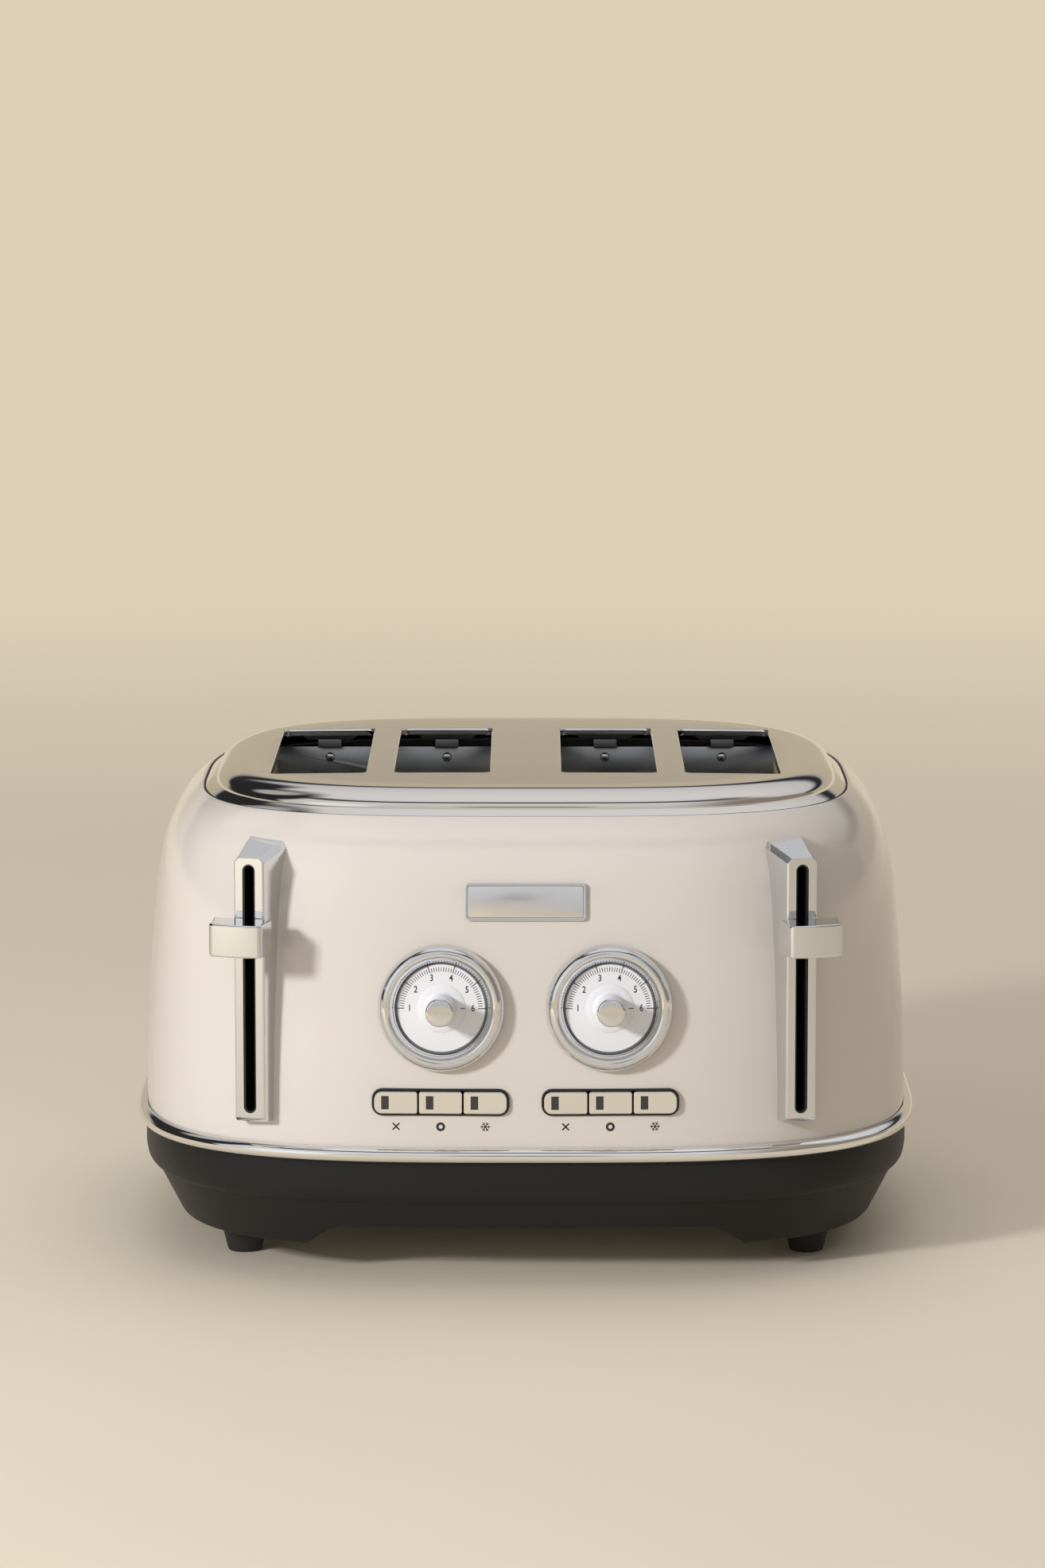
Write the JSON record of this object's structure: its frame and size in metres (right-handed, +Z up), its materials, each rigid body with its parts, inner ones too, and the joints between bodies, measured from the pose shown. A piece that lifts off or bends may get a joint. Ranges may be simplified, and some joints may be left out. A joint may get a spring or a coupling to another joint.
{
  "type": "four-slice pop-up toaster",
  "caption": "Rounded-square pop-up toaster: cream enamel body on a dark base, slotted steel top, two sliding levers, two round dials and rows of push buttons on the front.",
  "frame": {"origin": "on the surface the toaster stands on, under the middle of its overall box", "axes": "+X to the right seen from the front, +Y to the rear, +Z up"},
  "size_m": [0.322, 0.3328, 0.1952],
  "materials": {
    "enamel": "glossy cream stove enamel",
    "stainless": "brushed stainless steel with a polished edge",
    "chrome": "bright chrome plate",
    "charcoal": "fine-textured charcoal plastic",
    "black": "black plastic",
    "rubber": "matt black rubber",
    "white": "smooth white plastic",
    "zinc": "plated sheet steel",
    "wire": "bright plated wire",
    "mica": "mica sheet with resistance ribbon",
    "copper": "copper winding on a steel frame",
    "board": "green lacquered laminate"
  },
  "bodies": {
    "housing": {"body_shell": "enamel", "top_cap": "stainless", "cap_gasket": "black", "trim_band": "chrome", "base": "charcoal", "bottom_plate": "zinc", "plate_screws": "zinc", "feet": "rubber", "badge_plate": "chrome", "cord_gland": "black", "lever_housing_left": "chrome", "lever_housing_right": "chrome", "carriage_rod_left": "chrome", "carriage_rod_right": "chrome", "electromagnet_left": "copper", "electromagnet_right": "copper", "end_plate_front_left": "zinc", "end_plate_front_right": "zinc", "end_plate_rear_left": "zinc", "end_plate_rear_right": "zinc", "heat_shields": "zinc", "heater_cards": "mica", "dial_bezel_left": "chrome", "dial_bezel_right": "chrome", "dial_face_left": "white", "dial_face_right": "white", "potentiometer_left": "black", "potentiometer_right": "black", "button_frame_left": "black", "button_frame_right": "black", "control_board_left": "board", "control_board_right": "board"},
    "lever_left": {"lever_knob_left": "chrome", "carriage_left": "zinc", "bread_lifters_left": "wire", "carriage_spring_left": "wire"},
    "guides_left_a": {"bread_guides_left_a": "wire"},
    "guides_left_b": {"bread_guides_left_b": "wire"},
    "dial_left": {"dial_pointer_left": "white", "dial_cap_left": "chrome", "dial_shaft_left": "zinc"},
    "cancel_button_left": {"cancel_button_left": "chrome"},
    "bagel_button_left": {"bagel_button_left": "chrome"},
    "defrost_button_left": {"defrost_button_left": "chrome"},
    "crumb_tray_left": {"crumb_tray_left": "stainless", "crumb_tray_handle_left": "charcoal"},
    "lever_right": {"lever_knob_right": "chrome", "carriage_right": "zinc", "bread_lifters_right": "wire", "carriage_spring_right": "wire"},
    "guides_right_a": {"bread_guides_right_a": "wire"},
    "guides_right_b": {"bread_guides_right_b": "wire"},
    "dial_right": {"dial_pointer_right": "white", "dial_cap_right": "chrome", "dial_shaft_right": "zinc"},
    "cancel_button_right": {"cancel_button_right": "chrome"},
    "bagel_button_right": {"bagel_button_right": "chrome"},
    "defrost_button_right": {"defrost_button_right": "chrome"},
    "crumb_tray_right": {"crumb_tray_right": "stainless", "crumb_tray_handle_right": "charcoal"}
  },
  "joints": [
    {"name": "lever_slide_left", "type": "slide", "parent": "housing", "child": "lever_left", "axis": [0, 0, 1], "range_m": [-0.058, 0.022], "stiffness_N_per_m": 150, "springref_m": 0.00927, "deforming": ["carriage_spring_left"]},
    {"name": "guide_slide_left_a", "type": "slide", "parent": "housing", "child": "guides_left_a", "axis": [1, 0, 0], "range_m": [-0.0051, 0.002]},
    {"name": "guide_slide_left_b", "type": "slide", "parent": "housing", "child": "guides_left_b", "axis": [-1, 0, 0], "range_m": [-0.0051, 0.002]},
    {"name": "dial_turn_left", "type": "hinge", "parent": "housing", "child": "dial_left", "pos_m": [-0.0331, -0.14683, 0.112], "axis": [-0.0272, -0.9975, 0.0658], "range_deg": [0, 180]},
    {"name": "cancel_press_left", "type": "slide", "parent": "housing", "child": "cancel_button_left", "axis": [0.0274, 0.9994, -0.0233], "range_m": [0, 0.0016], "stiffness_N_per_m": 500, "springref_m": -0.001},
    {"name": "bagel_press_left", "type": "slide", "parent": "housing", "child": "bagel_button_left", "axis": [0.0274, 0.9994, -0.0233], "range_m": [0, 0.0016], "stiffness_N_per_m": 500, "springref_m": -0.001},
    {"name": "defrost_press_left", "type": "slide", "parent": "housing", "child": "defrost_button_left", "axis": [0.0274, 0.9994, -0.0233], "range_m": [0, 0.0016], "stiffness_N_per_m": 500, "springref_m": -0.001},
    {"name": "tray_slide_left", "type": "slide", "parent": "housing", "child": "crumb_tray_left", "axis": [0, 1, 0], "range_m": [0, 0.21]},
    {"name": "lever_slide_right", "type": "slide", "parent": "housing", "child": "lever_right", "axis": [0, 0, 1], "range_m": [-0.058, 0.022], "stiffness_N_per_m": 150, "springref_m": 0.00927, "deforming": ["carriage_spring_right"]},
    {"name": "guide_slide_right_a", "type": "slide", "parent": "housing", "child": "guides_right_a", "axis": [-1, 0, 0], "range_m": [-0.0051, 0.002]},
    {"name": "guide_slide_right_b", "type": "slide", "parent": "housing", "child": "guides_right_b", "axis": [1, 0, 0], "range_m": [-0.0051, 0.002]},
    {"name": "dial_turn_right", "type": "hinge", "parent": "housing", "child": "dial_right", "pos_m": [0.0331, -0.14683, 0.112], "axis": [0.0272, -0.9975, 0.0658], "range_deg": [0, 180]},
    {"name": "cancel_press_right", "type": "slide", "parent": "housing", "child": "cancel_button_right", "axis": [-0.0274, 0.9994, -0.0233], "range_m": [0, 0.0016], "stiffness_N_per_m": 500, "springref_m": -0.001},
    {"name": "bagel_press_right", "type": "slide", "parent": "housing", "child": "bagel_button_right", "axis": [-0.0274, 0.9994, -0.0233], "range_m": [0, 0.0016], "stiffness_N_per_m": 500, "springref_m": -0.001},
    {"name": "defrost_press_right", "type": "slide", "parent": "housing", "child": "defrost_button_right", "axis": [-0.0274, 0.9994, -0.0233], "range_m": [0, 0.0016], "stiffness_N_per_m": 500, "springref_m": -0.001},
    {"name": "tray_slide_right", "type": "slide", "parent": "housing", "child": "crumb_tray_right", "axis": [0, 1, 0], "range_m": [0, 0.21]}
  ],
  "couplings": [
    {"joint": "guide_slide_left_a", "follows": "lever_slide_left", "ratio": 0.086207},
    {"joint": "guide_slide_left_b", "follows": "lever_slide_left", "ratio": 0.086207},
    {"joint": "guide_slide_right_a", "follows": "lever_slide_right", "ratio": 0.086207},
    {"joint": "guide_slide_right_b", "follows": "lever_slide_right", "ratio": 0.086207}
  ]
}
